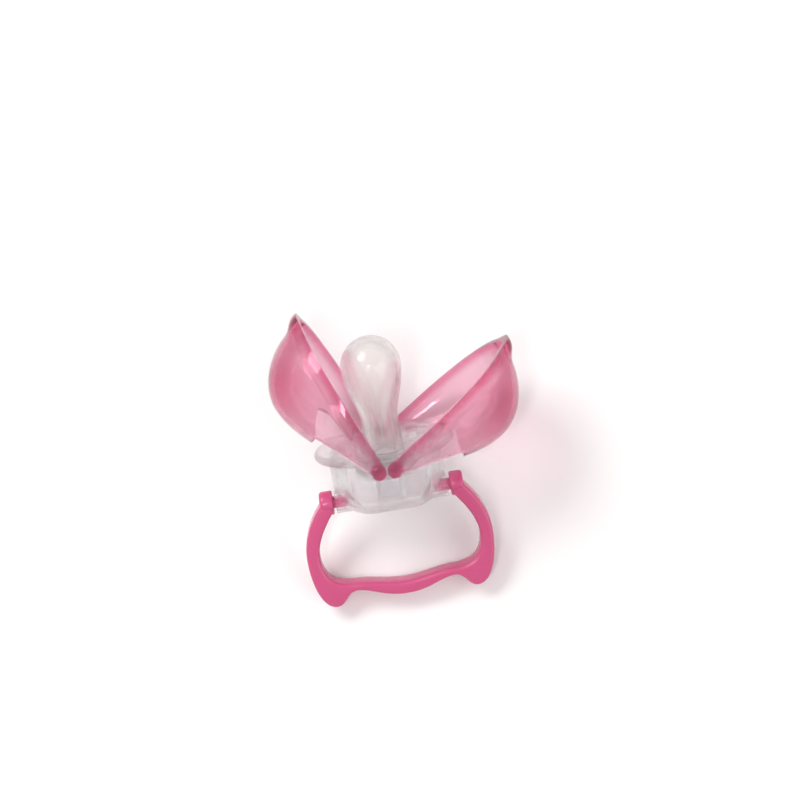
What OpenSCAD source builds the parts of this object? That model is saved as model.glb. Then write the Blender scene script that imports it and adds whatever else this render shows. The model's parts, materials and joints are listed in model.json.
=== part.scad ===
// Butterfly pacifier: a soft round nipple in a small dished shield, two hinged covers that swing
// shut round the nipple, and a bail handle that pivots in a housing behind the shield.
// The pieces are drawn in the nipple frame: +Z along the nipple, Y along the cover hinges, with the
// hinges at z = 0. lay_down() then lays the pacifier on its side, as it rests on a table, +Z up.

/* [Covers] */
// Length of a cover, from its hinge to the end of its finger tab
cover_l = 40; // [34:0.5:48]
// Depth of a cover, from its hinge to its crown
crown_d = 14.8; // [12.3:0.1:17.8]
// Width over a cover's two cheeks
case_w = 39.4; // [33:0.1:47.5]
// Wall of a cover
cover_wall = 1.3; // [1:0.05:1.6]
// How far the bead stands proud round a cover's mouth
bead = 0.45; // [0.2:0.05:0.6]
// Height of the bead, from the mouth
bead_h = 3.4; // [2.6:0.1:4.2]
// How far the finger tab stands out at a cover's tip
tab_l = 2.2; // [1.6:0.1:2.8]
// How far the left cover stands open, in degrees
left_open = 23; // [0:1:70]
// How far the right cover stands open, in degrees
right_open = 56; // [0:1:70]

/* [Cover hinges] */
// Radius of a knuckle
knuckle_r = 1.75; // [1.5:0.05:2.1]
// Length of a knuckle
knuckle_l = 2.6; // [2.1:0.1:3.1]
// Radius of a hinge pin
pin_r = 0.85; // [0.7:0.05:1.05]
// Length of a hinge pin past its knuckle
pin_l = 2.4; // [1.9:0.1:2.9]

/* [Shield] */
// Thickness of the shield
shield_t = 2; // [1.6:0.1:2.4]
// Radius of the shield's dish
dish_r = 65; // [54:1:100]
// Height of the dish's lowest point above the hinges
dish_z = 0.8; // [0.4:0.1:1.2]
// How far the shield reaches past the ends of the housing
lip = 3.3; // [2.8:0.1:4]
// Radius of an air hole
vent_r = 1.5; // [1.2:0.05:1.8]

/* [Nipple] */
// Height of the nipple's tip above the hinges
nipple_l = 29.5; // [25:0.5:30.5]
// Radius of the bulb
bulb_r = 7.4; // [6.2:0.1:8.8]
// Radius of the neck
neck_r = 5; // [4.2:0.1:6]
// Wall of the silicone
silicone_t = 1.4; // [1.1:0.1:1.7]

/* [Housing] */
// Width of the housing, across the handle's pivot
housing_h = 19.2; // [17:0.1:23]
// Depth of the housing behind the hinges
housing_d = 13.6; // [12:0.1:16.4]
// Wall of the housing
housing_t = 1.4; // [1.1:0.1:1.7]
// Radius of the housing's rounded long edges
housing_round = 5; // [4:0.1:6]

/* [Handle] */
// Length of the handle, from its pivot to the end of its feet
handle_l = 26.2; // [22:0.1:31.5]
// How far the bow stands out past the handle's arms
bow = 5.4; // [4.4:0.1:6.5]
// Thickness of the handle's bar
bar_t = 3.3; // [2.7:0.1:4]
// Depth of the handle's bar
bar_d = 6; // [5:0.1:7.2]
// How far the two feet stand past the valleys beside them
foot_h = 3.4; // [2.8:0.1:4.1]
// Radius of a pivot pin
pivot_r = 1.5; // [1.25:0.05:1.8]
// Length of a pivot pin
pivot_l = 4; // [3.3:0.1:4.8]

/* [Hidden] */
$fn = 96;
fit = 0.05;      // running clearance of a pin in its bore, on the radius
gap = 0.3;       // air between pieces that pass each other
lap = 0.01;      // overlap that joins two shapes of one piece
ends = [-1, 1];  // the two ends or sides of what comes in pairs
pink = [0.92, 0.52, 0.69, 0.8];
deep_pink = [0.84, 0.30, 0.52];
clear = [0.86, 0.89, 0.91, 0.35];
milky = [0.92, 0.91, 0.89, 0.55];

// ---- places that several pieces share ----
hinge_x = knuckle_r + gap / 2;                     // each cover hinge, either side of the middle
mouth = gap / 2 - hinge_x;                         // plane of a cover's mouth, from its hinge
knuckle_proud = 0.5;                               // the knuckles stand proud of the cheeks
knuckle_out = case_w / 2 + knuckle_proud;
knuckle_in = knuckle_out - knuckle_l;
ear_out = knuckle_in - gap;                        // outer face of the shield's hinge ears
shield_r = ear_out;
edge_r = shield_t / 2 + 0.05;                      // the shield's edge is a rolled bead
pass_r = shield_r - hinge_x + edge_r + 0.5;        // a cover's foot swings this far from its hinge
dish_mid = dish_z + dish_r;                        // centre of the dish's two spheres
housing_x = shield_r - lip;                        // half the length of the housing
arm_x = housing_x + 2 * gap;                       // inner face of the handle's arms
pivot_z = -(housing_d - bar_d / 2 - 0.1);
boss_r = pivot_r + housing_t;                      // round the pivot's bore
seat_z = dish_z - shield_t - 0.8;                  // flat seat of the nipple's flange
hub_r = neck_r + 3.4;
flange_t = 1.4;
disc_t = 1.6;
floor_z = housing_t - housing_d;                   // inside of the housing's floor

// ---- a cubic curve between two of four points, and a line through several such curves ----
function bez(c, u) = c[0]*pow(1-u, 3) + 3*c[1]*u*pow(1-u, 2) + 3*c[2]*u*u*(1-u) + c[3]*pow(u, 3);
function path(curves, n) = [for (c = curves) for (i = [0 : n - 1]) bez(c, i / n)];
function flipped(pts, from = 0) = [for (i = [len(pts) - 1 : -1 : from]) [-pts[i][0], pts[i][1]]];

// ---- a cover, shut, as [x out from the mouth, y along the hinge, z towards the tip] ----
rows = 18;       // from the hinge or the foot to the tip
ribs = 28;       // from cheek to cheek
shell_l = cover_l - tab_l;
crown_at = 0.62 * shell_l;
crown_h = crown_d - mouth;
// Half the width of the mouth, and the height of the crown above it, at z
function half_w(z) = case_w / 2 * pow(1 - pow(max(0, z / shell_l - 0.25) / 0.75, 2.2), 1 / 2.2);
function height(z) = z < crown_at
    ? crown_h * (0.56 + 0.44 * pow(sin(90 * z / crown_at), 2))
    : crown_h * pow(1 - pow(min(1, (z - crown_at) / (shell_l - crown_at)), 1.9), 1 / 1.75);
// A point at z and angle a: 0 and 180 are the cheeks' edges at the mouth, 90 is the crown
function squareness(z) = 2 / (3.1 - 0.8 * min(1, z / crown_at));
function shell(z, a) = [
    mouth + height(z) * pow(sin(a), squareness(z)),
    half_w(z) * pow(abs(cos(a)), squareness(z)) * sign(90 - a),
    z];
// Where the rib at angle a starts: at the hinge on the cheeks, and past the shield between them
cheek_a = 42;
function start(a) =
    let (drop = crown_d * 0.78 * pow(sin(a), 0.67), cheek = min(a, 180 - a))
    sqrt(pass_r * pass_r - drop * drop) * pow(min(1, cheek / cheek_a), 2.5);
function rib_a(j) = let (u = 2 * j / ribs - 1) 90 + 90 * sign(u) * (1 - pow(1 - abs(u), 1.5));
function row_z(v, a) = start(a) + (shell_l - start(a)) * sin(90 * v);
function unit(p) = p / norm(p);
function outward(v, a) =
    let (b = max(1, min(179, a)), w = min(v, 0.96), d = 0.01,
         n = cross(shell(row_z(w + d, b), b) - shell(row_z(w - d, b), b),
                   shell(row_z(w, b), b + d) - shell(row_z(w, b), b - d)),
         flat = a > 0 && a < 180 ? n : [0, n[1], n[2]])
    unit(flat);
function proud(x) = bead * (1 - pow(min(1, max(0, x - mouth) / bead_h), 4));
function tab(p) = [0, 0, tab_l * exp(-pow(p[1] / 5, 4)) * pow(max(0, 1 - (shell_l - p[2]) / 4), 0.5)
    * (1 - pow(min(1, (p[0] - mouth) / (1.1 * bead_h)), 4))];
function skin_at(v, a, depth) =
    let (p = shell(row_z(v, a), a))
    depth > 0 ? p - outward(v, a) * depth
              : p + outward(v, a) * proud(p[0]) * min(1, 6 * (1 - v)) + tab(p);
function skin(depth) = [for (i = [0 : rows - 1]) for (j = [0 : ribs]) skin_at(i / rows, rib_a(j), depth)];
// Two skins, each closed by one point at the tip, and the edges that join them
function shell_faces() =
    let (n = ribs + 1, inner = rows * n, last = (rows - 1) * n, tip = 2 * inner)
    concat(
        [for (i = [0 : rows - 2], j = [0 : ribs - 1]) let (k = i * n + j)
            each [[k, k + 1, k + n], [k + 1, k + n + 1, k + n]]],
        [for (i = [0 : rows - 2], j = [0 : ribs - 1]) let (k = inner + i * n + j)
            each [[k, k + n, k + 1], [k + 1, k + n, k + n + 1]]],
        [for (j = [0 : ribs - 1]) let (k = last + j)
            each [[k, k + 1, tip], [inner + k, tip + 1, inner + k + 1]]],
        [for (j = [0 : ribs - 1]) each [[j, inner + j, j + 1], [j + 1, inner + j, inner + j + 1]]],
        [for (i = [0 : rows - 2]) let (k = i * n, m = k + ribs)
            each [[k, k + n, inner + k], [inner + k, k + n, inner + k + n],
                  [m, inner + m, m + n], [inner + m, inner + m + n, m + n]]],
        [[last, tip, inner + last], [inner + last, tip, tip + 1],
         [last + ribs, inner + last + ribs, tip], [inner + last + ribs, tip + 1, tip]]);

// ---- the pose at rest: the far knuckles and the handle's two feet stand on the table ----
feet_z = handle_l - pivot_z;
rest_tilt = atan((knuckle_out - bar_d / 2) / (feet_z - knuckle_r));
lift = knuckle_out * cos(rest_tilt) + knuckle_r * sin(rest_tilt);
function across(p, a) = hinge_x + p[0] * cos(a) + p[2] * sin(a);
function along(p, a) = (p[2] * cos(a) - p[0] * sin(a)) * cos(rest_tilt) + p[1] * sin(rest_tilt);
outside = skin(0);
right_x = max([for (p = outside) across(p, right_open)]);
left_x = -max([for (p = outside) across(p, left_open)]);
front_y = max([for (p = outside) max(along(p, right_open), along(p, left_open))]);
back_y = -feet_z * cos(rest_tilt) - bar_d / 2 * sin(rest_tilt);

module lay_down() {
    translate([-(right_x + left_x) / 2, -(front_y + back_y) / 2, lift])
        rotate([rest_tilt - 90, 0, 0]) children();
}

module cover(side, open) {
    lay_down() translate([side * hinge_x, 0, 0]) rotate([0, side * open, 0])
    mirror([side < 0 ? 1 : 0, 0, 0]) {
        polyhedron(points = concat(outside, skin(cover_wall),
                                   [[mouth, 0, cover_l], [mouth, 0, shell_l - cover_wall]]),
                   faces = shell_faces());
        for (end = ends) rotate([-90 * end, 0, 0]) {
            translate([0, 0, knuckle_in]) cylinder(r = knuckle_r, h = knuckle_l);
            translate([0, 0, knuckle_in - pin_l]) cylinder(r = pin_r, h = pin_l + lap);
        }
    }
}

module cover_left() {
    color(pink) cover(-1, left_open);
}

module cover_right() {
    color(pink) cover(1, right_open);
}

// ---- shield: a dish with a rolled edge, a hub for the nipple and two ears for the cover hinges ----
ear_in = knuckle_in - pin_l - 1.6;
edge_z = dish_mid - sqrt(pow(dish_r + shield_t / 2, 2) - pow(shield_r - edge_r, 2));

module dish() {
    difference() {
        intersection() {
            translate([0, 0, dish_mid]) sphere(r = dish_r + shield_t, $fn = 200);
            translate([0, 0, -shield_t]) cylinder(r = shield_r - edge_r, h = 10);
        }
        translate([0, 0, dish_mid]) sphere(r = dish_r, $fn = 200);
    }
    translate([0, 0, edge_z]) rotate_extrude() translate([shield_r - edge_r, 0]) circle(r = edge_r);
    translate([0, 0, seat_z]) cylinder(r = hub_r, h = dish_z - seat_z);
}

module ear(end) {
    rotate([-90 * end, 0, 0]) translate([0, 0, ear_in]) {
        for (side = ends) translate([side * hinge_x, 0, 0]) cylinder(r = knuckle_r, h = ear_out - ear_in);
        translate([-hinge_x, -knuckle_r, 0]) cube([2 * hinge_x, 2 * knuckle_r, ear_out - ear_in]);
    }
}

module shield() {
    bore_in = knuckle_in - pin_l - gap;
    vent_at = shield_r - 2 * edge_r - vent_r;
    vent_turn = 57;
    color(clear) lay_down() difference() {
        union() {
            dish();
            for (end = ends) ear(end);
        }
        translate([0, 0, seat_z - 1]) cylinder(r = neck_r + 2 * fit, h = 10);
        for (end = ends, side = ends) {
            translate([side * hinge_x, 0, 0]) rotate([-90 * end, 0, 0]) translate([0, 0, bore_in])
                cylinder(r = pin_r + fit, h = knuckle_l + pin_l);
            rotate([0, 0, side * vent_turn]) translate([end * vent_at, 0, -5]) cylinder(r = vent_r, h = 12);
        }
    }
}

// ---- housing: a clear bowl welded to the shield's back, with a boss for each of the handle's pins ----
// Half the bowl's outline, from its flat floor to the shield, and half its section across
function bowl_line(inset) =
    let (half = housing_x - inset, deep = inset - housing_d, flat = 0.4 * half)
    concat([[0, deep]], path([[[flat, deep], [0.8 * half, deep], [half, 0.78 * deep], [half, 0.35 * deep]]], 14));

module across_bowl(inset) {
    half = housing_h / 2 - inset;
    round = housing_round - inset;
    translate([0, inset - housing_d]) {
        square([half - round, housing_d + shield_t]);
        translate([0, round]) square([half, housing_d + shield_t - round]);
        translate([half - round, round]) circle(r = round);
    }
}

module bowl(inset) {
    top = [[housing_x - inset, shield_t], [0, shield_t]];
    intersection() {
        rotate_extrude() polygon(concat(bowl_line(inset), top));
        rotate([90, 0, 90]) translate([0, 0, -housing_x]) linear_extrude(2 * housing_x)
            for (side = [0, 1]) mirror([side, 0]) across_bowl(inset);
    }
}

// Two copies on the handle's pivot, one each way from the middle, starting at x
module along_pivot(x) {
    for (side = ends) translate([0, 0, pivot_z]) rotate([0, 90 * side, 0]) translate([0, 0, x]) children();
}

module handle_housing() {
    boss_in = arm_x - pivot_l - gap - 1;
    color(clear) lay_down() difference() {
        union() {
            difference() {
                bowl(0);
                bowl(housing_t);
            }
            along_pivot(boss_in) cylinder(r = boss_r, h = housing_x - boss_in);
        }
        along_pivot(boss_in + 1) cylinder(r = pivot_r + fit, h = housing_x);
        translate([0, 0, dish_mid]) sphere(r = dish_r + shield_t, $fn = 200);
    }
}

// ---- nipple: one revolved line, drawn in by the wall for its inside ----
function nipple_line(wall) =
    let (neck = neck_r - wall, waist = 0.9 * neck_r - wall, bulb = bulb_r - wall,
         bulb_z = nipple_l - bulb_r, tip = nipple_l - wall, round = 0.553)
    path([[[neck, seat_z], [neck, 4.5], [waist, 4.5], [waist, 8.5]],
          [[waist, 8.5], [waist, 12], [bulb, bulb_z - bulb_r * 0.8], [bulb, bulb_z]],
          [[bulb, bulb_z], [bulb, bulb_z + round * bulb], [round * bulb, tip], [0, tip]]], 10);

module nipple() {
    color(milky) lay_down() difference() {
        union() {
            rotate_extrude() polygon(concat([[0, seat_z]], nipple_line(0), [[0, nipple_l]]));
            translate([0, 0, seat_z - flange_t]) cylinder(r = hub_r - 0.4, h = flange_t);
        }
        rotate_extrude() polygon(concat([[0, seat_z]], nipple_line(silicone_t), [[0, nipple_l - silicone_t]]));
        translate([0, 0, seat_z - flange_t - 1]) cylinder(r = neck_r - silicone_t, h = flange_t + 1 + lap);
    }
}

module nipple_plug() {
    disc_z = seat_z - flange_t - disc_t;
    spigot_h = 2.5;
    color(clear) lay_down() {
        translate([0, 0, disc_z]) cylinder(r = hub_r - 0.4, h = disc_t);
        translate([0, 0, disc_z]) cylinder(r = neck_r - silicone_t - fit, h = disc_t + flange_t + spigot_h);
        translate([0, 0, floor_z]) cylinder(r = neck_r - silicone_t, h = disc_z - floor_z + lap);
    }
}

// ---- handle: half an outline as [x, distance behind the pivot], from an arm to the middle ----
arm_out = arm_x + bar_t;
bow_x = arm_out + bow;
foot_x = 0.76 * bow_x;
valley_x = 0.53 * bow_x;
valley = handle_l - foot_h;
bump = 2.7;                                        // the middle of the grip stands this far past them
outer_half = [
    [[arm_out, 0], [arm_out + 2.6, 3], [bow_x, 7.5], [bow_x, handle_l / 2]],
    [[bow_x, handle_l / 2], [bow_x, 0.76 * handle_l], [foot_x + 3.6, handle_l], [foot_x, handle_l]],
    [[foot_x, handle_l], [foot_x - 2.5, handle_l], [valley_x + 2.6, valley], [valley_x, valley]],
    [[valley_x, valley], [valley_x - 3.5, valley], [6, valley + bump], [0, valley + bump]]];
inner_half = [
    [[0, valley + bump - bar_t], [5, valley + bump - bar_t], [valley_x - 4, valley - 2], [valley_x, valley - 2]],
    [[valley_x, valley - 2], [valley_x + 4.6, valley - 2], [bow_x - bar_t, 0.72 * handle_l],
     [bow_x - bar_t, handle_l / 2]],
    [[bow_x - bar_t, handle_l / 2], [bow_x - bar_t, 8.8], [arm_x + 2.6, 5], [arm_x, 1.5]]];

module handle() {
    outer = path(outer_half, 12);
    inner = path(inner_half, 12);
    outline = concat(outer, [[0, valley + bump]], flipped(outer), [[-arm_x, 0]], flipped(inner, 1), inner,
                     [[arm_x, 0]]);
    color(deep_pink) lay_down() {
        translate([0, -bar_d / 2, pivot_z]) rotate([-90, 0, 0]) linear_extrude(bar_d) polygon(outline);
        along_pivot(arm_x) cylinder(r = bar_d / 2, h = bar_t);
        along_pivot(arm_x - pivot_l) cylinder(r = pivot_r, h = pivot_l + lap);
    }
}

shield();
handle_housing();
nipple();
nipple_plug();
handle();
cover_left();
cover_right();
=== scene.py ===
import json
import math

import bmesh
import bpy
from mathutils import Matrix, Vector


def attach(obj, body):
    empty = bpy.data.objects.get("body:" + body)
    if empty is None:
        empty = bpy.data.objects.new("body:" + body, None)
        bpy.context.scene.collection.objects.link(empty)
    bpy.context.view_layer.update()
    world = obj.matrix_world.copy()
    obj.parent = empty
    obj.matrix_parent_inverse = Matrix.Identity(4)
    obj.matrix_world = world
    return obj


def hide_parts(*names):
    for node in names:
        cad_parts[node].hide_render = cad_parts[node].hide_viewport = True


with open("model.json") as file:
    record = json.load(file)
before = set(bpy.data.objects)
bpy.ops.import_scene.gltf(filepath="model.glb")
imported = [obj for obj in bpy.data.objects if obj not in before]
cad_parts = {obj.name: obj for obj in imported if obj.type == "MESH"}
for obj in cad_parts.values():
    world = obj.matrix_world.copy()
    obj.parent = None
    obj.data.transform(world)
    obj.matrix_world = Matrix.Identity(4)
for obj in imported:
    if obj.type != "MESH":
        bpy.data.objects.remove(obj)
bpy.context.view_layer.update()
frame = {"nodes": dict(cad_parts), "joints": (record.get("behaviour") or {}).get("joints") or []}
joints = {joint["name"]: joint for joint in frame["joints"]}
mm = 0.001

# The pacifier's own axes: x from one cover hinge to the other, y along the hinges, z along the nipple
leftPin = Vector(joints["left_cover_hinge"]["pos_m"])
rightPin = Vector(joints["right_cover_hinge"]["pos_m"])
pivot = Vector(joints["handle_pivot"]["pos_m"])
axisX = (rightPin - leftPin).normalized()
axisY = Vector(joints["right_cover_hinge"]["axis"]).normalized()
axisZ = axisX.cross(axisY)
toPart = Matrix.Translation((leftPin + rightPin) / 2) @ Matrix((axisX, axisY, axisZ)).transposed().to_4x4()
toPart = toPart @ Matrix.Scale(mm, 4)  # drawn in mm, placed in metres
hingeX = (rightPin - leftPin).length / 2 / mm
pivotZ = (toPart.inverted() @ pivot).z
leftOpen = math.radians(joints["left_cover_hinge"]["range_deg"][1])
rightOpen = -math.radians(joints["right_cover_hinge"]["range_deg"][0])


# Lowest and highest corner of a frame node, in mm, along the axes of place
def measured(node, place):
    back = place.inverted()
    points = [back @ v.co for v in frame["nodes"][node].data.vertices]
    low = Vector(min(p[i] for p in points) for i in range(3))
    high = Vector(max(p[i] for p in points) for i in range(3))
    return low, high


print("frame: hinges", round(hingeX, 2), "mm from the middle, handle pivot at", round(pivotZ, 2), "mm")


def addPiece(name, verts, faces, place, material, smoothAngle=35):
    mesh = bpy.data.meshes.new(name)
    mesh.from_pydata([place @ Vector(v) for v in verts], [], faces)
    piece = bpy.data.objects.new(name, mesh)
    bpy.context.scene.collection.objects.link(piece)
    mesh.materials.append(material)
    tidyMesh(piece, smoothAngle)
    return piece


def tidyMesh(piece, smoothAngle=35):
    work = bmesh.new()
    work.from_mesh(piece.data)
    bmesh.ops.remove_doubles(work, verts=work.verts, dist=0.002 * mm)
    bmesh.ops.recalc_face_normals(work, faces=work.faces)
    for face in work.faces:
        face.smooth = True
    for edge in work.edges:
        edge.smooth = len(edge.link_faces) == 2 and edge.calc_face_angle(0) < math.radians(smoothAngle)
    work.to_mesh(piece.data)
    work.free()


# Bakes the modifiers into the mesh
def settle(piece):
    ready = piece.evaluated_get(bpy.context.evaluated_depsgraph_get())
    mesh = bpy.data.meshes.new_from_object(ready)
    piece.modifiers.clear()
    piece.data = mesh


def roundEdges(piece, width, segments=3, angle=50, clamp=True):
    bevel = piece.modifiers.new("round", "BEVEL")
    bevel.width = width * mm
    bevel.segments = segments
    bevel.limit_method = "ANGLE"
    bevel.angle_limit = math.radians(angle)
    bevel.use_clamp_overlap = clamp
    settle(piece)


def join(piece, tools, operation="UNION"):
    for tool in tools:
        cut = piece.modifiers.new("join", "BOOLEAN")
        cut.operation = operation
        cut.solver = "EXACT"
        cut.object = tool
        settle(piece)
        bpy.data.objects.remove(tool)
    tidyMesh(piece)


# Turns closed [radius, height] points round z; a point with radius 0 is a pole
def lathe(profile, steps=96):
    verts, faces, rings = [], [], []
    for radius, height in profile:
        if radius < 1e-6:
            rings.append([len(verts)] * steps)
            verts.append((0, 0, height))
        else:
            rings.append(list(range(len(verts), len(verts) + steps)))
            for i in range(steps):
                turn = 2 * math.pi * i / steps
                verts.append((radius * math.cos(turn), radius * math.sin(turn), height))
    for k in range(len(rings)):
        a, b = rings[k], rings[(k + 1) % len(rings)]
        for i in range(steps):
            j = (i + 1) % steps
            face = [a[i], a[j], b[j], b[i]]
            face = [v for n, v in enumerate(face) if v not in face[:n]]
            if len(face) > 2:
                faces.append(face)
    return verts, faces


# Rounds the corners of a closed outline; each corner is (x, y, radius)
def filleted(corners, steps=5):
    points = []
    count = len(corners)
    for n, (x, y, radius) in enumerate(corners):
        here = Vector((x, y))
        if radius <= 0:
            points.append(tuple(here))
            continue
        before = (Vector(corners[n - 1][:2]) - here).normalized()
        after = (Vector(corners[(n + 1) % count][:2]) - here).normalized()
        half = before.angle(after) / 2
        reach = radius / math.tan(half)
        centre = here + (before + after).normalized() * radius / math.sin(half)
        start = here + before * reach - centre
        end = here + after * reach - centre
        sweep = start.angle_signed(end)
        for i in range(steps + 1):
            turn = -sweep * i / steps
            points.append((centre.x + start.x * math.cos(turn) - start.y * math.sin(turn),
                           centre.y + start.x * math.sin(turn) + start.y * math.cos(turn)))
    return points


def bezier(curve, u):
    return sum((Vector(p) * w for p, w in zip(curve, (
        (1 - u) ** 3, 3 * u * (1 - u) ** 2, 3 * u * u * (1 - u), u ** 3))), Vector((0, 0)))


# Points along joined curves; steps is one number, or one for each curve
def path(curves, steps):
    counts = steps if isinstance(steps, tuple) else (steps,) * len(curves)
    return [tuple(bezier(curve, i / count)) for curve, count in zip(curves, counts) for i in range(count)]


def fromHex(text):
    channels = [int(text[i:i + 2], 16) / 255 for i in (1, 3, 5)]
    return [c / 12.92 if c <= 0.04045 else ((c + 0.055) / 1.055) ** 2.4 for c in channels] + [1]


def newMaterial(name):
    material = bpy.data.materials.new(name)
    material.use_nodes = True
    nodes = material.node_tree.nodes
    return material, nodes["Principled BSDF"], nodes["Material Output"]


# Adds a node; links name its inputs and the sockets or values that feed them
def addNode(material, kind, settings=None, **links):
    node = material.node_tree.nodes.new(kind)
    for key, value in (settings or {}).items():
        setattr(node, key, value)
    for key, value in links.items():
        socket = node.inputs[int(key[1:])] if key[1:].isdigit() else node.inputs[key.replace("_", " ")]
        if isinstance(value, bpy.types.NodeSocket):
            material.node_tree.links.new(value, socket)
        else:
            socket.default_value = value
    return node


# A moulded skin: a faint ripple from the mould, and polish that varies a little over it; grain is the
# ripple's width and depth its height, in mm
def mouldedSurface(material, shader, grain, depth, roughLow, roughHigh):
    place = addNode(material, "ShaderNodeTexCoord").outputs["Object"]
    ripple = addNode(material, "ShaderNodeTexNoise", Vector=place, Scale=1 / (grain * mm), Detail=3.0)
    bump = addNode(material, "ShaderNodeBump", Strength=0.35, Distance=depth * mm,
                   Height=ripple.outputs["Fac"])
    material.node_tree.links.new(bump.outputs["Normal"], shader.inputs["Normal"])
    polish = addNode(material, "ShaderNodeTexNoise", Vector=place, Scale=1 / (3 * grain * mm), Detail=2.0)
    rough = addNode(material, "ShaderNodeMapRange", Value=polish.outputs["Fac"],
                    From_Min=0.3, From_Max=0.7, To_Min=roughLow, To_Max=roughHigh)
    material.node_tree.links.new(rough.outputs["Result"], shader.inputs["Roughness"])


# A see-through moulding: light passes the walls, and what they absorb grows with their thickness
def makeClearMaterial(name, spec):
    material, shader, output = newMaterial(name)
    shader.inputs["Base Color"].default_value = fromHex(spec["tint"])
    shader.inputs["IOR"].default_value = spec["ior"]
    shader.inputs["Transmission Weight"].default_value = spec["clear"]
    shader.inputs["Alpha"].default_value = spec["body"]
    mouldedSurface(material, shader, spec["grain"], spec["ripple"], *spec["rough"])
    walls = addNode(material, "ShaderNodeVolumeAbsorption", Density=spec["density"],
                    Color=fromHex(spec["absorb"]))
    material.node_tree.links.new(walls.outputs["Volume"], output.inputs["Volume"])
    return material, shader


# Transparent pink polycarbonate, injection moulded: clear walls that deepen where they are seen edge-on, and
# a painted deeper pink along the thick rim, in the finger tab and toward the top of the dome, standing in for
# light passing through thicker or stacked walls
# The second pink is a painted deeper pink, standing in for light passing through thick or stacked walls
pinkPlastic = {"tint": "#fff4f8", "deep": "#ee86b2", "gloss": "#fde0ea", "absorb": "#e42f9a", "density": 300,
               "ior": 1.5, "grain": 5, "ripple": 0.01, "rough": (0.03, 0.07), "clear": 0.95, "body": 0.86}


def makePinkPolycarbonate():
    spec = pinkPlastic
    material, shader = makeClearMaterial("PinkPolycarbonate", spec)
    paintedDepthPink = addNode(material, "ShaderNodeAttribute", {"attribute_name": "paintedDepthPink"}).outputs["Fac"]
    # Painted depth of colour: the tint is mixed toward the deeper pink by the stored per-point amount
    colour = addNode(material, "ShaderNodeMix", {"data_type": "RGBA"}, _0=paintedDepthPink,
                     _6=fromHex(spec["tint"]), _7=fromHex(spec["deep"]))
    material.node_tree.links.new(colour.outputs[2], shader.inputs["Base Color"])
    shader.inputs["Specular Tint"].default_value = fromHex(spec["gloss"])
    return material


# Deep pink ABS with some light carried inside it, moulded and polished
handlePlastic = {"colour": "#c64b7b", "ior": 1.5, "grain": 5, "ripple": 0.03, "rough": (0.14, 0.24),
                 "glow": 0.35, "glowDepth": 1.2, "glowSpread": (1.0, 0.35, 0.5)}


def makeDeepPinkAbs():
    spec = handlePlastic
    material, shader, output = newMaterial("DeepPinkAbs")
    shader.inputs["Base Color"].default_value = fromHex(spec["colour"])
    shader.inputs["IOR"].default_value = spec["ior"]
    shader.inputs["Subsurface Weight"].default_value = spec["glow"]
    shader.inputs["Subsurface Radius"].default_value = spec["glowSpread"]
    shader.inputs["Subsurface Scale"].default_value = spec["glowDepth"] * mm
    mouldedSurface(material, shader, spec["grain"], spec["ripple"], *spec["rough"])
    return material


# Clear polypropylene, moulded and polished: almost no colour, faintly grey where it is thick
clearPlastic = {"tint": "#fbfcfd", "absorb": "#c9d2d8", "density": 15, "ior": 1.49, "grain": 6,
                "ripple": 0.006, "rough": (0.01, 0.04), "clear": 1, "body": 0.5}

# Liquid silicone rubber, cast: clear but slightly milky, with a soft satin skin
siliconeRubber = {"tint": "#f8f7f5", "absorb": "#d8d2cc", "density": 40, "ior": 1.41, "grain": 2,
                  "ripple": 0.015, "rough": (0.06, 0.14), "clear": 0.93, "body": 0.72}

pinkPolycarbonate = makePinkPolycarbonate()
deepPinkAbs = makeDeepPinkAbs()
clearPolypropylene = makeClearMaterial("ClearPolypropylene", clearPlastic)[0]
silicone = makeClearMaterial("SiliconeRubber", siliconeRubber)[0]
print("materials: 4")


# The rim, tab and dome pink amounts, and where the dome's share starts, set the painted deeper pink on the
# covers, standing in for light through thicker walls
cover = {"wall": 1.3, "edgeRound": 0.4, "crownAt": 0.62, "lowCrown": 0.56, "cornerLow": 3.1,
         "cornerDrop": 0.8, "widestTo": 0.25, "endFullness": 2.2, "rimCurve": 0.78, "cheekTurn": 42,
         "reach": 16.95, "bead": 0.45, "beadHeight": 3.4, "tab": 2.2, "tabHalfWidth": 5, "tabSlope": 5.2,
         "tabReach": 3.2, "tabHollow": 0.7, "knuckleRadius": 1.75, "knuckleLength": 2.6,
         "knuckleProud": 0.5, "knuckleRound": 0.35, "pinRadius": 0.85, "pinLength": 2.4,
         "rimWidth": 2.4, "rimPaintedDepth": 0.8, "tabPaintedDepth": 0.8, "domePaintedDepth": 2.2, "domeFrom": 0.45, "domeOut": 0.2,
         "rows": 40, "ribs": 72}


def coverPlace(side, openAngle):
    hinge = Matrix.Translation((side * hingeX, 0, 0)) @ Matrix.Rotation(side * openAngle, 4, "Y")
    return toPart @ hinge @ Matrix.Scale(side, 4, (1, 0, 0))


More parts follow.
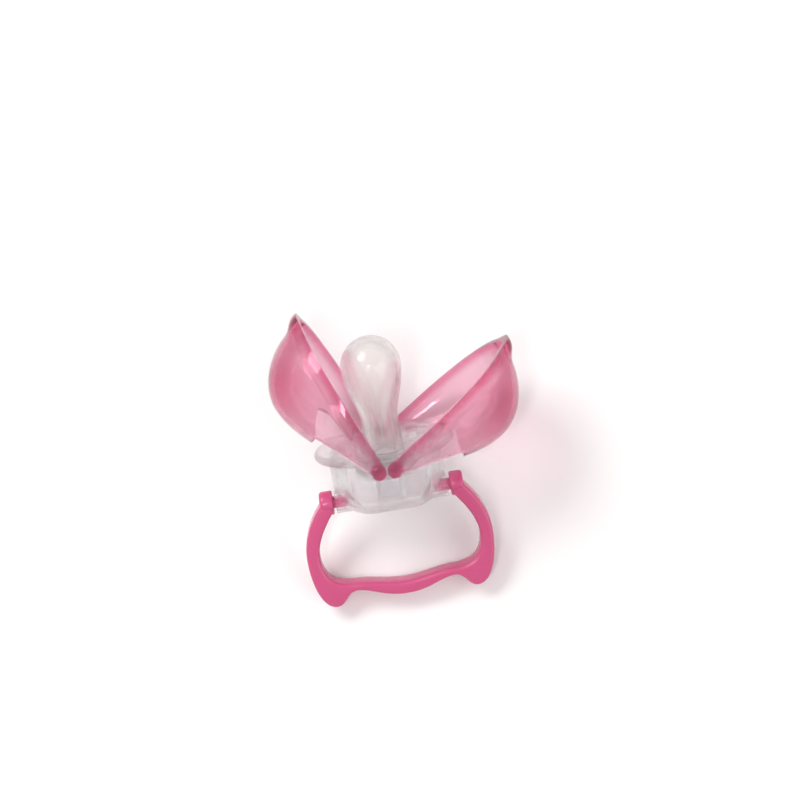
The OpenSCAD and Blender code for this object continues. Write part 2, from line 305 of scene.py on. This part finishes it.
# Outer and inner skin of a shut cover: x out from the hinge line, y along the hinge, z to the tip
def coverSkin(spec, low, high):
    shellLength = high.z - spec["tab"]
    halfCase = high.y - spec["knuckleProud"]
    mouth = low.x
    crownHeight = high.x - mouth
    crownAt = spec["crownAt"] * shellLength

    def square(z):
        return 2 / (spec["cornerLow"] - spec["cornerDrop"] * min(1, z / crownAt))

    def halfWidth(z):
        share = max(0, z / shellLength - spec["widestTo"]) / (1 - spec["widestTo"])
        return halfCase * max(0, 1 - share ** spec["endFullness"]) ** (1 / spec["endFullness"])

    def height(z):
        if z < crownAt:
            rise = math.sin(math.pi / 2 * z / crownAt) ** 2
            return crownHeight * (spec["lowCrown"] + (1 - spec["lowCrown"]) * rise)
        share = min(1, (z - crownAt) / (shellLength - crownAt))
        return crownHeight * max(0, 1 - share ** 1.9) ** (1 / 1.75)

    def onShell(z, a):
        power = square(z)
        return Vector((mouth + height(z) * math.sin(a) ** power,
                       halfWidth(z) * abs(math.cos(a)) ** power * (1 if a < math.pi / 2 else -1), z))

    def startOf(a):
        drop = (crownHeight + mouth) * spec["rimCurve"] * math.sin(a) ** 0.67
        cheek = min(a, math.pi - a) / math.radians(spec["cheekTurn"])
        return math.sqrt(spec["reach"] ** 2 - drop ** 2) * min(1, cheek) ** 2.5

    def along(v, a):
        return startOf(a) + (shellLength - startOf(a)) * math.sin(math.pi / 2 * v)

    def outward(v, a):
        b = max(0.02, min(math.pi - 0.02, a))  # the shell has no slope to measure at its very ends
        w = min(v, 0.97)
        d = 0.008
        n = (onShell(along(w + d, b), b) - onShell(along(w - d, b), b)).cross(
            onShell(along(w, b), b + d / 4) - onShell(along(w, b), b - d / 4))
        if a < 1e-6 or a > math.pi - 1e-6:
            n.x = 0
        return n.normalized()

    def tab(p):
        return Vector((0, 0, spec["tab"] * math.exp(-(p.y / spec["tabHalfWidth"]) ** 4)
                       * math.exp(-((shellLength - p.z) / spec["tabReach"]) ** 2)
                       * math.cos(math.pi / 2 * max(0, min(1, (p.x - mouth) / spec["tabSlope"]))) ** 1.5))

    ribs, rows = spec["ribs"], spec["rows"]
    skins = ([], [])
    for row in range(rows):
        v = row / rows
        for rib in range(ribs + 1):
            u = 2 * rib / ribs - 1
            a = math.pi / 2 * (1 + math.copysign(1 - (1 - abs(u)) ** 1.5, u))
            a = max(0, min(math.pi, a))
            p = onShell(along(v, a), a)
            n = outward(v, a)
            bead = spec["bead"] * (1 - min(1, max(0, p.x - mouth) / spec["beadHeight"]) ** 4)
            skins[0].append(p + n * bead * min(1, 6 * (1 - v)) + tab(p))
            skins[1].append(p - n * spec["wall"] + tab(p) * spec["tabHollow"])
    innerTip = shellLength - spec["wall"] + spec["tab"] * spec["tabHollow"]
    tip = [Vector((mouth, 0, high.z)), Vector((mouth, 0, innerTip))]
    return skins[0] + skins[1] + tip


def coverFaces(spec):
    ribs, rows = spec["ribs"], spec["rows"]
    n = ribs + 1
    inner, last, tip = rows * n, (rows - 1) * n, 2 * rows * n
    faces = []
    for row in range(rows - 1):
        for rib in range(ribs):
            k = row * n + rib
            faces.append((k, k + 1, k + n + 1, k + n))
            faces.append((inner + k, inner + k + n, inner + k + n + 1, inner + k + 1))
        for k in (row * n, row * n + ribs):
            faces.append((k, k + n, inner + k + n, inner + k))
    for rib in range(ribs):
        k = last + rib
        faces.append((k, k + 1, tip))
        faces.append((inner + k + 1, inner + k, tip + 1))
        faces.append((rib, inner + rib, inner + rib + 1, rib + 1))
    faces.append((last, tip, tip + 1, inner + last))
    faces.append((last + ribs, inner + last + ribs, tip + 1, tip))
    return faces


# Knuckle and pin as [radius, distance along the hinge]
def knuckleProfile(spec, outerFace):
    innerFace = outerFace - spec["knuckleLength"]
    pinEnd = innerFace - spec["pinLength"]
    return filleted([(0, outerFace, 0), (spec["knuckleRadius"], outerFace, spec["knuckleRound"]),
                     (spec["knuckleRadius"], innerFace, 0.15), (spec["pinRadius"], innerFace, 0),
                     (spec["pinRadius"], pinEnd, 0.2), (0, pinEnd, 0)])


# Stores how much painted deeper pink each point of a cover gets, standing in for light passing through thick
# or stacked walls: most at the knuckles, rim and tab, growing toward the top of the dome, and none at the
# cheeks
def addPaintedDepthPink(shell, spec, place, low, high):
    back = place.inverted()
    values = []
    for vertex in shell.data.vertices:
        p = back @ vertex.co
        rim = 1 - min(1, max(0, (p.x - low.x - spec["rimWidth"] * 0.3) / (spec["rimWidth"] * 0.7)))
        tab = max(0, min(1, (p.z - high.z + 3.6 * spec["tab"]) / (2 * spec["tab"])))
        upward = max(0, p.z / high.z - spec["domeFrom"]) / (1 - spec["domeFrom"])
        outward = max(0, (p.x - low.x) / (high.x - low.x) - spec["domeOut"]) / (1 - spec["domeOut"])
        knuckle = 1 if math.hypot(p.x, p.z) < spec["knuckleRadius"] + 0.1 else 0
        dome = min(1, spec["domePaintedDepth"] * upward * outward)
        values.append(max(spec["rimPaintedDepth"] * rim, spec["tabPaintedDepth"] * tab, dome, knuckle))
    layer = shell.data.attributes.new("paintedDepthPink", "FLOAT", "POINT")
    layer.data.foreach_set("value", values)


def makeCover(name, node, body, side, openAngle):
    spec = cover
    place = coverPlace(side, openAngle)
    low, high = measured(node, place)
    shell = addPiece(name, coverSkin(spec, low, high), coverFaces(spec), place, pinkPolycarbonate, 180)
    roundEdges(shell, spec["edgeRound"])
    knuckles = []
    for end in (-1, 1):
        turned = place @ Matrix.Rotation(-end * math.pi / 2, 4, "X")
        verts, faces = lathe(knuckleProfile(spec, high.y), 40)
        knuckles.append(addPiece("knuckle", verts, faces, turned, pinkPolycarbonate))
    join(shell, knuckles)
    # Stores the painted deeper pink on the cover's points
    addPaintedDepthPink(shell, spec, place, low, high)
    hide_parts(node)
    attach(shell, body)
    return shell


makeCover("CoverLeft", "cover_left", "left_cover", -1, leftOpen)
makeCover("CoverRight", "cover_right", "right_cover", 1, rightOpen)
print("covers: done")


shield = {"thick": 2, "dishRadius": 65, "dishHeight": 0.8, "edge": 1.05, "hubRadius": 8.4, "holeRadius": 5.1,
          "hubDrop": 0.8, "ventRadius": 1.5, "ventTurn": 57, "earInside": 13.6, "earRound": 0.3,
          "boreRadius": 0.9, "boreEnd": 14.9}


# Height of the dish at a radius: its front face, or its back where drop is its thickness
def dishHeight(spec, radius, drop=0):
    reach = spec["dishRadius"] + drop
    return spec["dishHeight"] + spec["dishRadius"] - math.sqrt(reach ** 2 - radius ** 2)


def shieldProfile(spec, outer):
    edgeAt = outer - spec["edge"]
    edgeMid = dishHeight(spec, edgeAt, spec["thick"] / 2)
    hole, hub = spec["holeRadius"], spec["hubRadius"]
    back = spec["dishHeight"] - spec["thick"] - spec["hubDrop"]
    points = [(hole, back + 0.25), (hole + 0.25, back), (hub - 0.3, back), (hub, back + 0.3)]
    radii = [hub + (edgeAt - hub) * i / 12 for i in range(13)]
    points += [(r, dishHeight(spec, r, spec["thick"])) for r in radii]
    for i in range(1, 12):
        turn = -math.pi / 2 + math.pi * i / 12
        points.append((edgeAt + spec["edge"] * math.cos(turn), edgeMid + spec["edge"] * math.sin(turn)))
    points += [(r, dishHeight(spec, r)) for r in reversed(radii)]
    points += [(r, dishHeight(spec, r)) for r in (7.4, 6.4, hole + 0.5)]
    points += [(hole + 0.2, dishHeight(spec, hole) - 0.05), (hole, dishHeight(spec, hole) - 0.3)]
    return points


# A stadium: two half rounds joined by straight sides
def pillProfile(halfLength, radius, steps=16):
    points = []
    for side in (1, -1):
        for i in range(steps + 1):
            turn = -math.pi / 2 + math.pi * i / steps + (0 if side > 0 else math.pi)
            points.append((side * halfLength + radius * math.cos(turn), radius * math.sin(turn)))
    return points


# Extrudes an outline through (height, inset) rings
def prism(outline, rings):
    verts, faces = [], []
    count = len(outline)
    for height, inset in rings:
        for n, p in enumerate(outline):
            normal = outlineNormal(outline, n)
            verts.append((p[0] - normal.x * inset, p[1] - normal.y * inset, height))
    for ring in range(len(rings) - 1):
        for i in range(count):
            j = (i + 1) % count
            a = ring * count
            faces.append((a + i, a + j, a + count + j, a + count + i))
    faces.append(tuple(reversed(range(count))))
    faces.append(tuple(range(len(verts) - count, len(verts))))
    return verts, faces


# Outward normal at a point of an outline that runs counter-clockwise
def outlineNormal(outline, n):
    step = Vector(outline[(n + 1) % len(outline)]) - Vector(outline[n - 1])
    return Vector((step.y, -step.x)).normalized()


# Heights and insets that round both ends of a prism
def rimRings(low, high, radius, steps=4):
    turns = [math.pi / 2 * i / steps for i in range(steps + 1)]
    lower = [(low + radius * (1 - math.cos(turn)), radius * (1 - math.sin(turn))) for turn in turns]
    return lower + [(low + high - height, inset) for height, inset in reversed(lower)]


def makeShield():
    spec = shield
    low, high = measured("shield", toPart)
    verts, faces = lathe(shieldProfile(spec, high.x), 128)
    dish = addPiece("Shield", verts, faces, toPart, clearPolypropylene)
    ears = []
    tools = []
    for end in (-1, 1):
        turned = toPart @ Matrix.Rotation(-end * math.pi / 2, 4, "X")
        outline = pillProfile(hingeX, cover["knuckleRadius"])
        verts, faces = prism(outline, rimRings(spec["earInside"], high.y, spec["earRound"]))
        ears.append(addPiece("ear", verts, faces, turned, clearPolypropylene))
        for side in (-1, 1):
            bore = turned @ Matrix.Translation((side * hingeX, 0, 0))
            verts, faces = lathe([(0, spec["boreEnd"]), (spec["boreRadius"], spec["boreEnd"]),
                                  (spec["boreRadius"], high.y + 1), (0, high.y + 1)], 40)
            tools.append(addPiece("bore", verts, faces, bore, clearPolypropylene))
            vent = toPart @ Matrix.Rotation(math.radians(side * spec["ventTurn"]), 4, "Z")
            vent = vent @ Matrix.Translation((end * (high.x - 2 * spec["edge"] - spec["ventRadius"]), 0, 0))
            verts, faces = lathe([(0, -4), (spec["ventRadius"], -4), (spec["ventRadius"], 6), (0, 6)], 40)
            tools.append(addPiece("vent", verts, faces, vent, clearPolypropylene))
    join(dish, ears)
    join(dish, tools, "DIFFERENCE")
    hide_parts("shield")
    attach(dish, "base")
    return dish


makeShield()
print("shield: done")


nipple = {"bulb": 7.4, "neck": 5, "waist": 0.9, "waistFrom": 4.5, "waistTo": 8.5, "swell": 12, "wall": 1.4,
          "flange": 8.0, "flangeThick": 1.4, "round": 0.553}
plug = {"disc": 1.6, "clearance": 0.05}


def nippleLine(spec, seat, tip, inset):
    bulbAt = tip - spec["bulb"]
    neck, waist, bulb = spec["neck"] - inset, spec["waist"] * spec["neck"] - inset, spec["bulb"] - inset
    low, high = spec["waistFrom"], spec["waistTo"]
    return path([[(neck, seat), (neck, low), (waist, low), (waist, high)],
                 [(waist, high), (waist, spec["swell"]), (bulb, bulbAt - spec["bulb"] * 0.8), (bulb, bulbAt)],
                 [(bulb, bulbAt), (bulb, bulbAt + spec["round"] * bulb), (spec["round"] * bulb, tip - inset),
                  (0, tip - inset)]], 16) + [(0, tip - inset)]


def makeNipple():
    spec = nipple
    low, high = measured("nipple", toPart)
    seat = low.z + spec["flangeThick"]
    outside = nippleLine(spec, seat, high.z, 0)
    inside = nippleLine(spec, seat, high.z, spec["wall"])
    flange = filleted([(spec["neck"] - spec["wall"], low.z, 0.1), (spec["flange"], low.z, 0.4),
                       (spec["flange"], seat, 0.4), (spec["neck"], seat, 0)], 4)
    verts, faces = lathe(flange + outside[1:] + inside[:0:-1], 96)
    teat = addPiece("Nipple", verts, faces, toPart, silicone, 50)
    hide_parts("nipple")
    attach(teat, "base")


def makePlug():
    low, high = measured("nipple_plug", toPart)
    seat = measured("nipple", toPart)[0].z
    base = seat - plug["disc"]
    stem = nipple["neck"] - nipple["wall"]
    spigot = stem - plug["clearance"]
    disc = nipple["flange"]
    verts, faces = lathe(filleted([(0, low.z, 0), (stem, low.z, 0.3), (stem, base, 0.2), (disc, base, 0.35),
                                   (disc, seat, 0.2), (spigot, seat, 0), (spigot, high.z, 0.4),
                                   (0, high.z, 0)], 4), 72)
    piece = addPiece("NipplePlug", verts, faces, toPart, clearPolypropylene)
    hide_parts("nipple_plug")
    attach(piece, "base")


makeNipple()
makePlug()
print("nipple: done")


handle = {"bar": 3.3, "foot": 3.4, "bump": 2.7, "footAt": 0.76, "valleyAt": 0.53, "valleyThick": 2,
          "pinRadius": 1.5, "pinLength": 4, "edgeRound": 0.85, "steps": 16, "sideGap": 0.6,
          "proud": 0.015}  # the end discs stand this much outside the arms, so that the two join cleanly


# Half outline, outer then inner, as (x, distance behind the pivot): arm, bow, foot, valley and middle bump
def handleOutline(spec, armX, bowX, length):
    armOut, footX, valleyX = armX + spec["bar"], spec["footAt"] * bowX, spec["valleyAt"] * bowX
    valley, thick, bump = length - spec["foot"], spec["valleyThick"], spec["bump"]
    inner = bowX - spec["bar"]
    outerLine = path([[(armOut, 0), (armOut + 2.6, 3), (bowX, 7.5), (bowX, length / 2)],
                      [(bowX, length / 2), (bowX, 0.76 * length), (footX + 3.6, length), (footX, length)],
                      [(footX, length), (footX - 2.5, length), (valleyX + 2.6, valley), (valleyX, valley)],
                      [(valleyX, valley), (valleyX - 3.5, valley), (6, valley + bump), (0, valley + bump)]],
                     spec["steps"])
    grip = valley + bump - spec["bar"]
    innerLine = path([[(0, grip), (5, grip), (valleyX - 4, valley - thick), (valleyX, valley - thick)],
                      [(valleyX, valley - thick), (valleyX + 4.6, valley - thick), (inner, 0.72 * length),
                       (inner, length / 2)],
                      [(inner, length / 2), (inner, 8.8), (armX + 2.6, 5), (armX, 1.5)]],
                     (spec["steps"], 2 * spec["steps"], spec["steps"]))
    return outerLine + [(0, valley + bump)], innerLine + [(armX, 1.5)]


# A bar with rounded edges between two matched lines; rings are heights and insets across its depth
def barBetween(inner, outer, rings):
    size = 2 * len(rings)
    verts, faces = [], []
    last = len(outer) - 1
    for n in range(last + 1):
        before, after = max(0, n - 1), min(last, n + 1)
        ring = []
        for line, side in ((outer, 1), (inner, -1)):
            step = Vector(line[after]) - Vector(line[before])
            normal = Vector((step.y, -step.x)).normalized() * side
            points = [(line[n][0] - normal.x * inset, line[n][1] - normal.y * inset, height)
                      for height, inset in rings]
            ring += points if side > 0 else points[::-1]
        verts += ring
    for n in range(last):
        for i in range(size):
            j = (i + 1) % size
            faces.append((n * size + i, n * size + j, (n + 1) * size + j, (n + 1) * size + i))
    faces.append(tuple(range(size)))
    faces.append(tuple(reversed(range(last * size, (last + 1) * size))))
    return verts, faces


def makeHandle():
    spec = handle
    place = toPart @ Matrix.Translation((0, 0, pivotZ))
    low, high = measured("handle", place)
    depth = high.y
    armX = measured("handle_housing", place)[1].x + spec["sideGap"]
    outer, inner = handleOutline(spec, armX, high.x, -low.z)
    # Both sides as one line each, from the left arm to the right one, matched point for point
    outer = [(-x, -d) for x, d in outer[:-1]] + [(x, -d) for x, d in outer[::-1]]
    inner = [(-x, -d) for x, d in inner[:0:-1]] + [(x, -d) for x, d in inner]
    verts, faces = barBetween(inner, outer, rimRings(-depth, depth, spec["edgeRound"], 5))
    standing = place @ Matrix.Rotation(math.pi / 2, 4, "X")
    bail = addPiece("Handle", verts, faces, standing, deepPinkAbs, 40)
    ends = []
    for side in (-1, 1):
        turned = place @ Matrix.Rotation(side * math.pi / 2, 4, "Y")
        pinEnd = armX - spec["pinLength"]
        inside, outside = armX - spec["proud"], armX + spec["bar"] + spec["proud"]
        disc = depth + spec["proud"]
        verts, faces = lathe(filleted([(0, pinEnd, 0), (spec["pinRadius"], pinEnd, 0.3),
                                       (spec["pinRadius"], inside, 0), (disc, inside, 0.5),
                                       (disc, outside, spec["edgeRound"]), (0, outside, 0)], 5), 64)
        ends.append(addPiece("end", verts, faces, turned, deepPinkAbs))
    join(bail, ends)
    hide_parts("handle")
    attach(bail, "bail")


makeHandle()
print("handle: done")


housing = {"edgeRound": 0.1, "flatWithin": 0.6, "smoothAngle": 28}


# The clear bowl behind the shield, from the frame's own form with its sharp edges rounded
def makeHousing():
    spec = housing
    source = frame["nodes"]["handle_housing"].data
    mesh = bpy.data.meshes.new("HandleHousing")
    work = bmesh.new()
    work.from_mesh(source)
    bmesh.ops.remove_doubles(work, verts=work.verts, dist=0.002 * mm)
    bmesh.ops.dissolve_limit(work, angle_limit=math.radians(spec["flatWithin"]), verts=work.verts,
                             edges=work.edges)
    work.to_mesh(mesh)
    work.free()
    bowl = bpy.data.objects.new("HandleHousing", mesh)
    bpy.context.scene.collection.objects.link(bowl)
    mesh.materials.clear()
    mesh.materials.append(clearPolypropylene)
    roundEdges(bowl, spec["edgeRound"], 2, 50, False)
    tidyMesh(bowl, spec["smoothAngle"])
    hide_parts("handle_housing")
    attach(bowl, "base")


makeHousing()
print("housing: done")


studio = {"floor": "#f1efee", "floorEdge": 1.5, "worldLight": 0.56,
          "distance": 525, "tilt": 13, "roll": 9.2, "scale": 4.22, "frameWidth": 800, "aim": (3.0, 17.3)}
# Each lamp's place in metres, its two sides in metres and its power in watts
lamps = {"Window": ((-0.35, 0.35, 0.6), (0.4, 0.3), 3.6),
         "Fill": ((0.5, -0.3, 0.5), (0.5, 0.5), 1.5),
         "Strip": ((-0.12, -0.2, 0.6), (0.05, 0.22), 0.7)}


def makeFloor():
    edge = studio["floorEdge"]
    mesh = bpy.data.meshes.new("Floor")
    corners = [(-edge, -edge, 0), (edge, -edge, 0), (edge, edge, 0), (-edge, edge, 0)]
    mesh.from_pydata(corners, [], [(0, 1, 2, 3)])
    floor = bpy.data.objects.new("Floor", mesh)
    bpy.context.scene.collection.objects.link(floor)
    material, shader, output = newMaterial("PaleFloor")
    shader.inputs["Base Color"].default_value = fromHex(studio["floor"])
    shader.inputs["Roughness"].default_value = 0.8
    mesh.materials.append(material)


def addLamp(name, place, size, power):
    lamp = bpy.data.lights.new(name, "AREA")
    lamp.shape = "RECTANGLE"
    lamp.size, lamp.size_y = size
    lamp.energy = power
    item = bpy.data.objects.new(name, lamp)
    bpy.context.scene.collection.objects.link(item)
    item.location = place
    item.rotation_euler = (-Vector(place)).to_track_quat("-Z", "Y").to_euler()


# The camera looks at a point beside the near knuckles; scale is the frame's units for each mm at that depth
def makeCamera():
    tilt, roll = math.radians(studio["tilt"]), math.radians(studio["roll"])
    up = axisZ * math.cos(tilt) + axisY * math.sin(tilt)
    away = axisZ * math.sin(tilt) - axisY * math.cos(tilt)
    right = axisX * math.cos(roll) - up * math.sin(roll)
    top = axisX * math.sin(roll) + up * math.cos(roll)
    nearKnuckles = toPart @ Vector((0, measured("cover_right", toPart)[0].y, 0))
    aim = nearKnuckles + (right * studio["aim"][0] + top * studio["aim"][1]) * mm
    camera = bpy.data.objects.new("Camera", bpy.data.cameras.new("Camera"))
    bpy.context.scene.collection.objects.link(camera)
    turn = Matrix((right, top, away)).transposed().to_4x4()
    camera.matrix_world = Matrix.Translation(aim + away * studio["distance"] * mm) @ turn
    camera.data.lens = camera.data.sensor_width * studio["distance"] * studio["scale"] / studio["frameWidth"]
    camera.data.clip_start = 0.01
    bpy.context.scene.camera = camera


makeFloor()
makeCamera()
for lampName, (lampPlace, lampSides, lampPower) in lamps.items():
    addLamp(lampName, lampPlace, lampSides, lampPower)


# Soft light all round; white where it is seen directly, mirrored or looked at through a clear wall
def makeWorld():
    world = bpy.data.worlds.new("Studio")
    world.use_nodes = True
    background = world.node_tree.nodes["Background"]
    background.inputs["Color"].default_value = fromHex("#ffffff")
    rays = world.node_tree.nodes.new("ShaderNodeLightPath")
    seen = rays.outputs["Is Camera Ray"]
    for name in ("Is Glossy Ray", "Is Transmission Ray"):
        both = addNode(world, "ShaderNodeMath", {"operation": "MAXIMUM"}, _0=seen, _1=rays.outputs[name])
        seen = both.outputs[0]
    light = addNode(world, "ShaderNodeMapRange", Value=seen, To_Min=studio["worldLight"], To_Max=1.0)
    world.node_tree.links.new(light.outputs["Result"], background.inputs["Strength"])
    bpy.context.scene.world = world


makeWorld()
bpy.context.scene.view_settings.view_transform = "Standard"
print("scene: done")
